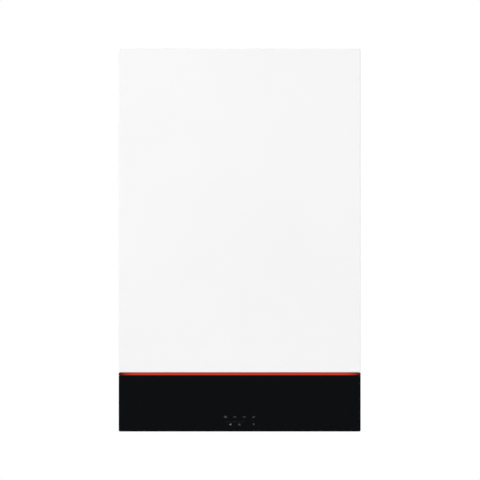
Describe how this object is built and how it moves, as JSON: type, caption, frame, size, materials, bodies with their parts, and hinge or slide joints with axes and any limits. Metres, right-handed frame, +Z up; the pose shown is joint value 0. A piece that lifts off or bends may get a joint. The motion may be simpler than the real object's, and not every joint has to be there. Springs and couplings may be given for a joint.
{
  "type": "combi boiler",
  "caption": "Wall-hung combi boiler: white pull-off casing over a tilting black glass control fascia with a red light strip, hot water store and burner inside.",
  "frame": {"origin": "centre of the wall bracket on the wall face", "axes": "+Z up, -Y out of the wall towards the user, +X to the right seen from the front"},
  "size_m": [0.6, 0.5, 0.95],
  "materials": {
    "white_paint": "satin",
    "zinc_sheet": "satin",
    "black_glass": "gloss",
    "red_strip": "gloss",
    "black_plastic": "matte",
    "grey_plastic": "matte",
    "white_plastic": "matte",
    "board_green": "matte",
    "stainless": "satin",
    "cast_aluminium": "matte",
    "brass": "satin",
    "copper": "satin",
    "red_paint": "satin",
    "foam": "matte",
    "ceramic_white": "matte",
    "rubber_black": "matte",
    "red_cap": "matte"
  },
  "bodies": {
    "casing": {"side_panel_left": "white_paint", "side_panel_right": "white_paint", "top_panel": "white_paint", "back_panel": "zinc_sheet", "bottom_plate": "zinc_sheet", "front_rail": "zinc_sheet", "wall_bracket": "zinc_sheet", "hanger_rail": "zinc_sheet", "wall_buffer_left": "rubber_black", "wall_buffer_right": "rubber_black", "hinge_arm_left": "zinc_sheet", "hinge_arm_right": "zinc_sheet", "storage_tank": "stainless", "tank_lid": "black_plastic", "tank_base": "foam", "tank_insulation_front": "foam", "tank_insulation_rear": "foam", "heat_exchanger_housing": "stainless", "heat_exchanger_coil": "stainless", "burner_door": "cast_aluminium", "burner_tube": "stainless", "ignition_electrode": "ceramic_white", "fan_housing": "cast_aluminium", "fan_motor": "black_plastic", "mixing_duct": "black_plastic", "venturi": "cast_aluminium", "gas_valve": "cast_aluminium", "flue_pipe": "white_plastic", "air_collar": "white_plastic", "expansion_vessel": "red_paint", "vessel_hose": "stainless", "plate_heat_exchanger": "stainless", "flow_manifold": "brass", "diverter_actuator": "black_plastic", "return_manifold": "brass", "pump_motor": "black_plastic", "safety_valve": "brass", "flow_pipe": "copper", "return_pipe": "copper", "cold_water_pipe": "copper", "tank_charge_pipe": "copper", "hot_water_pipe": "copper", "gas_pipe": "brass", "siphon": "white_plastic", "condensate_hose": "rubber_black"},
    "front_cover_body": {"front_cover": "white_paint", "cover_insulation": "foam"},
    "control_tray": {"fascia_glass": "black_glass", "light_guide": "red_strip", "fascia_carrier": "black_plastic", "display_module": "board_green", "control_box": "grey_plastic", "control_box_lid": "grey_plastic", "main_board": "board_green"},
    "fan_wheel": {"fan_impeller": "black_plastic"},
    "pump_wheel": {"pump_impeller": "white_plastic"},
    "diverter": {"diverter_spindle": "stainless"},
    "safety_cap": {"safety_valve_cap": "red_cap"},
    "screw_left": {"cover_screw_left": "stainless"},
    "screw_right": {"cover_screw_right": "stainless"}
  },
  "joints": [
    {"name": "front_cover_pull", "type": "slide", "parent": "casing", "child": "front_cover_body", "axis": [0, -1, 0], "range_m": [0, 0.35]},
    {"name": "control_tray_hinge", "type": "hinge", "parent": "casing", "child": "control_tray", "pos_m": [0, -0.484, -0.854], "axis": [1, 0, 0], "range_deg": [0, 90]},
    {"name": "fan_spin", "type": "hinge", "parent": "casing", "child": "fan_wheel", "pos_m": [-0.085, -0.393, -0.386], "axis": [0, 1, 0], "continuous": true},
    {"name": "pump_spin", "type": "hinge", "parent": "casing", "child": "pump_wheel", "pos_m": [-0.065, -0.185, -0.718], "axis": [0, 1, 0], "continuous": true},
    {"name": "diverter_stroke", "type": "slide", "parent": "casing", "child": "diverter", "axis": [0, 1, 0], "range_m": [0, 0.008]},
    {"name": "safety_cap_turn", "type": "hinge", "parent": "casing", "child": "safety_cap", "pos_m": [-0.187, -0.044, -0.728], "axis": [-1, 0, 0], "range_deg": [0, 90]},
    {"name": "cover_screw_left_turn", "type": "hinge", "parent": "casing", "child": "screw_left", "pos_m": [-0.18, -0.446, -0.72], "axis": [0, 0, 1], "range_deg": [0, 90]},
    {"name": "cover_screw_right_turn", "type": "hinge", "parent": "casing", "child": "screw_right", "pos_m": [0.18, -0.446, -0.72], "axis": [0, 0, 1], "range_deg": [0, 90]}
  ]
}
